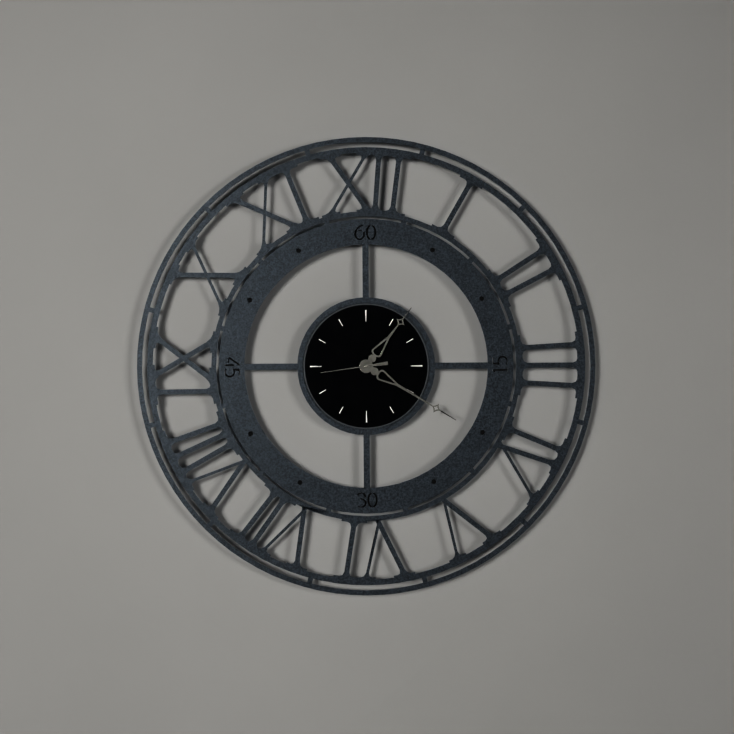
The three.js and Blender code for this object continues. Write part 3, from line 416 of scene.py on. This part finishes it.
def geometry_group(name, build):
    """A geometry-nodes group with one geometry in and one out, filled in by build."""
    group = bpy.data.node_groups.new(name, "GeometryNodeTree")
    for way in ("INPUT", "OUTPUT"):
        group.interface.new_socket("Geometry", in_out=way, socket_type="NodeSocketGeometry")
    start = group.nodes.new("NodeGroupInput").outputs[0]
    end = build(group, start)
    group.links.new(end, group.nodes.new("NodeGroupOutput").inputs[0])
    return group


def weld(group, geometry):
    """Joins the loose CAD triangles into one surface and drops their flat normals."""
    merge = group.nodes.new("GeometryNodeMergeByDistance")
    merge.inputs["Distance"].default_value = WELD_DISTANCE
    group.links.new(geometry, merge.inputs["Geometry"])
    drop = group.nodes.new("GeometryNodeRemoveAttribute")
    drop.inputs["Name"].default_value = "custom_normal"
    group.links.new(merge.outputs[0], drop.inputs["Geometry"])
    return drop.outputs[0]


def smooth(group, geometry):
    """Shades every face smooth, with a crease where two faces meet at a steep angle."""
    faces = group.nodes.new("GeometryNodeSetShadeSmooth")
    faces.domain = "FACE"
    group.links.new(geometry, faces.inputs["Geometry"])
    angle = group.nodes.new("GeometryNodeInputMeshEdgeAngle")
    steep = group.nodes.new("FunctionNodeCompare")
    steep.data_type, steep.operation = "FLOAT", "GREATER_THAN"
    steep.inputs[1].default_value = SMOOTH_ANGLE
    group.links.new(angle.outputs["Unsigned Angle"], steep.inputs[0])
    creases = group.nodes.new("GeometryNodeSetShadeSmooth")
    creases.domain = "EDGE"
    creases.inputs["Shade Smooth"].default_value = False
    group.links.new(steep.outputs[0], creases.inputs["Selection"])
    group.links.new(faces.outputs[0], creases.inputs["Geometry"])
    return creases.outputs[0]


WELD_GROUP = geometry_group("weld", weld)
SMOOTH_GROUP = geometry_group("smooth_by_angle", smooth)


def round_edges(piece, radius, edge_material=SAME_MATERIAL):
    """Rounds the sharp edges of a piece. They may take another material from its list, given by its index."""
    piece.modifiers.new("weld", "NODES").node_group = WELD_GROUP
    flat = piece.modifiers.new("merge flat faces", "DECIMATE")
    flat.decimate_type = "DISSOLVE"
    flat.angle_limit = FLAT_ANGLE
    flat.delimit = {"NORMAL"}
    bevel = piece.modifiers.new("rounded edges", "BEVEL")
    bevel.width = radius
    bevel.segments = 2
    bevel.limit_method = "ANGLE"
    bevel.angle_limit = EDGE_ANGLE
    bevel.use_clamp_overlap = True
    bevel.material = edge_material
    piece.modifiers.new("smooth", "NODES").node_group = SMOOTH_GROUP
    normals = piece.modifiers.new("even shading", "WEIGHTED_NORMAL")
    normals.keep_sharp = True


def dress_cad():
    """Gives every CAD piece its finish and its rounded edges."""
    for name, piece in sorted(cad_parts.items()):
        finishes = piece.data.materials
        radius = EDGE_RADIUS.get(name, DEFAULT_EDGE_RADIUS) * MM
        if name in HAND_ANGLES:
            finishes[0] = hand_face(name)
            finishes.append(hand_edge(name))
            round_edges(piece, radius, len(finishes) - 1)
        else:
            finishes[0] = SLOT_MATERIALS[finishes[0].name]
            round_edges(piece, radius)


# ---------------------------------------------------------------- hour batons

def baton_mesh(size):
    """A tapered bar along +Z, with a low ridge along its back. It stands out towards -Y."""
    shell = bmesh.new()
    rows = []
    for along, width in ((size["inner"], size["inner_width"]), (size["outer"], size["outer_width"])):
        half = width / 2
        outline = (
            (-half, 0), (-half, BATON_SIDE_HEIGHT), (0, BATON_HEIGHT), (half, BATON_SIDE_HEIGHT), (half, 0),
        )
        rows.append([shell.verts.new((x, -y, along)) for x, y in outline])
    inner, outer = rows
    count = len(inner)
    for i in range(count):
        j = (i + 1) % count
        shell.faces.new((inner[i], inner[j], outer[j], outer[i]))
    shell.faces.new(inner[::-1])
    shell.faces.new(outer)
    bmesh.ops.recalc_face_normals(shell, faces=shell.faces)
    mesh = bpy.data.meshes.new("baton")
    shell.to_mesh(mesh)
    shell.free()
    return mesh


def hour_batons():
    """Twelve raised batons on the dial; the quarter hours have longer ones."""
    paint = baton_paint()
    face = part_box("dial_disc")[0].y + RIM_HEIGHT
    for hour in range(1, 13):
        size = LONG_BATON if hour % 3 == 0 else SHORT_BATON
        mesh = baton_mesh(size)
        mesh.materials.append(paint)
        turn = Matrix.Rotation(math.radians(DEGREES_PER_HOUR * hour), 4, "Y")
        mesh.transform(Matrix.Translation((0, face + BATON_SEAT, 0)) @ turn)
        baton = bpy.data.objects.new("hour_baton_%02d" % hour, mesh)
        bpy.context.scene.collection.objects.link(baton)
        bevel = baton.modifiers.new("rounded edges", "BEVEL")
        bevel.width = BATON_BEVEL
        bevel.segments = 2
        baton.modifiers.new("smooth", "NODES").node_group = SMOOTH_GROUP
        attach(baton, "clock_body")


# ---------------------------------------------------------------- felt patches of painted shade

def patch_mesh(size):
    """A thin pad with rounded corners, lying in the XZ plane with its front at y = 0."""
    corner = size["corner"]
    outline = []
    for quarter in range(4):
        for step in range(PATCH_CORNER_STEPS + 1):
            turn = math.radians(90) * (quarter + step / PATCH_CORNER_STEPS)
            side_x = 1 if quarter in (0, 3) else -1
            side_z = 1 if quarter in (0, 1) else -1
            x = side_x * (size["half_width"] - corner) + corner * math.cos(turn)
            z = side_z * (size["half_height"] - corner) + corner * math.sin(turn)
            outline.append((x, z))
    pad = bmesh.new()
    front = [pad.verts.new((x, 0, z)) for x, z in outline]
    back = [pad.verts.new((x, PATCH_THICKNESS, z)) for x, z in outline]
    pad.faces.new(front)
    pad.faces.new(back[::-1])
    for i in range(len(outline)):
        j = (i + 1) % len(outline)
        pad.faces.new((front[i], back[i], back[j], front[j]))
    bmesh.ops.recalc_face_normals(pad, faces=pad.faces)
    mesh = bpy.data.meshes.new("patch")
    pad.to_mesh(mesh)
    pad.free()
    return mesh


def painted_shade_pads():
    """A black felt pad behind each label and each dot cut through the minute ring, so that they look black:
    painted shade where the wall behind them lies in shade.
    """
    shade_cloth = shade_felt()
    plate_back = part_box("face_plate")[1].y
    for hour in range(1, 13):
        label = hour % 3 == 0
        name = "label_shade_pad_%02d" if label else "dot_shade_pad_%02d"
        mesh = patch_mesh(LABEL_PATCH if label else DOT_PATCH)
        mesh.materials.append(shade_cloth)
        turn = Matrix.Rotation(math.radians(DEGREES_PER_HOUR * hour), 4, "Y")
        mesh.transform(turn @ Matrix.Translation((0, plate_back + PATCH_GAP, MINUTE_MARK_RADIUS)))
        patch = bpy.data.objects.new(name % hour, mesh)
        bpy.context.scene.collection.objects.link(patch)
        bevel = patch.modifiers.new("rounded edges", "BEVEL")
        bevel.width = PATCH_BEVEL
        bevel.segments = 2
        bevel.limit_method = "ANGLE"
        patch.modifiers.new("smooth", "NODES").node_group = SMOOTH_GROUP
        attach(patch, "clock_body")


# ---------------------------------------------------------------- stage, lights and camera

def plane(name, corners, paint):
    """A stage plane through four corners."""
    mesh = bpy.data.meshes.new(name)
    mesh.from_pydata(corners, [], [(0, 1, 2, 3)])
    mesh.materials.append(paint)
    made = bpy.data.objects.new(name, mesh)
    bpy.context.scene.collection.objects.link(made)
    return made


def wall_paint():
    """Matt warm grey paint in front. From behind, the wall is transparent."""
    made, tree = material("wall_paint")
    where = place(tree)
    roller = noise(tree, where, 2.5 * MM, 4)
    patch = noise(tree, where, 300 * MM, 3)
    colour = tint(tree, patch, (0.411, 0.410, 0.407), (0.427, 0.426, 0.423))
    shader = add(tree, "BsdfPrincipled", Base_Color=colour, Roughness=0.9,
                 Normal=relief(tree, roller, 0.1 * MM, 0.35))
    shader.inputs["Specular IOR Level"].default_value = 0.1
    back = add(tree, "NewGeometry").outputs["Backfacing"]
    both = add(tree, "MixShader", Fac=back)
    tree.links.new(shader.outputs[0], both.inputs[1])
    tree.links.new(add(tree, "BsdfTransparent").outputs[0], both.inputs[2])
    surface(tree, both)
    return made


def floor_paint():
    """Pale matt floor."""
    made, tree = material("pale_floor")
    grain = noise(tree, place(tree), 6 * MM, 4)
    colour = tint(tree, grain, (0.60, 0.59, 0.57), (0.66, 0.65, 0.63))
    surface(tree, add(tree, "BsdfPrincipled", Base_Color=colour, Roughness=0.7))
    return made


def build_stage():
    """The wall behind the clock, and a floor on both sides of it."""
    far = STAGE_HALF
    wall_corners = [(-far, WALL_Y, FLOOR_Z), (far, WALL_Y, FLOOR_Z), (far, WALL_Y, far), (-far, WALL_Y, far)]
    plane("wall", wall_corners, wall_paint()).visible_shadow = False
    floor_corners = [(-far, -far, FLOOR_Z), (far, -far, FLOOR_Z), (far, far, FLOOR_Z), (-far, far, FLOOR_Z)]
    plane("floor", floor_corners, floor_paint())


def area_light(name, at, aim, width, power, beam, colour=WHITE):
    """A round soft light that the camera doesn't see."""
    light = bpy.data.lights.new(name, "AREA")
    light.shape = "DISK"
    light.size = width
    light.energy = power
    light.color = colour
    light.spread = beam
    lamp = bpy.data.objects.new(name, light)
    lamp.location = at
    lamp.rotation_euler = (Vector(aim) - Vector(at)).to_track_quat("-Z", "Y").to_euler()
    lamp.visible_camera = False
    bpy.context.scene.collection.objects.link(lamp)


def build_lights():
    """A soft light from the left and one from the right, and three behind the wall."""
    for name, light in FRONT_LIGHTS.items():
        at = Vector(light["direction"]).normalized() * light["distance"]
        area_light(name, at, light["aim"], light["width"], light["power"], light["beam"], light["colour"])
    for name, light in REAR_LIGHTS.items():
        area_light(name, **light)


def build_world():
    """A pale surround that only the camera sees, so that the dial reflects a dark room."""
    world = bpy.data.worlds.new("surround")
    bpy.context.scene.world = world
    world.use_nodes = True
    world.node_tree.nodes["Background"].inputs["Color"].default_value = SURROUND
    for rays in ("diffuse", "glossy", "transmission", "scatter"):
        setattr(world.cycles_visibility, rays, False)


def build_camera():
    """The camera, with a lens that spans FRAME_WIDTH at the front of the face."""
    camera = bpy.data.cameras.new("camera")
    camera.sensor_width = SENSOR_MM
    camera.lens = SENSOR_MM * CAMERA_DISTANCE / FRAME_WIDTH
    viewer = bpy.data.objects.new("camera", camera)
    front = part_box("face_plate")[0].y
    at = CAMERA_OFFSET + Vector((0, front - CAMERA_DISTANCE, 0))
    upright = Matrix.Rotation(math.radians(90), 4, "X") @ Matrix.Rotation(CAMERA_ROLL, 4, "Z")
    viewer.matrix_world = Matrix.Translation(at) @ upright
    bpy.context.scene.collection.objects.link(viewer)
    bpy.context.scene.camera = viewer


dress_cad()
hour_batons()
painted_shade_pads()
build_stage()
build_lights()
build_world()
build_camera()
bpy.context.scene.view_settings.view_transform = "Standard"
bpy.context.scene.view_settings.gamma = CONTRAST
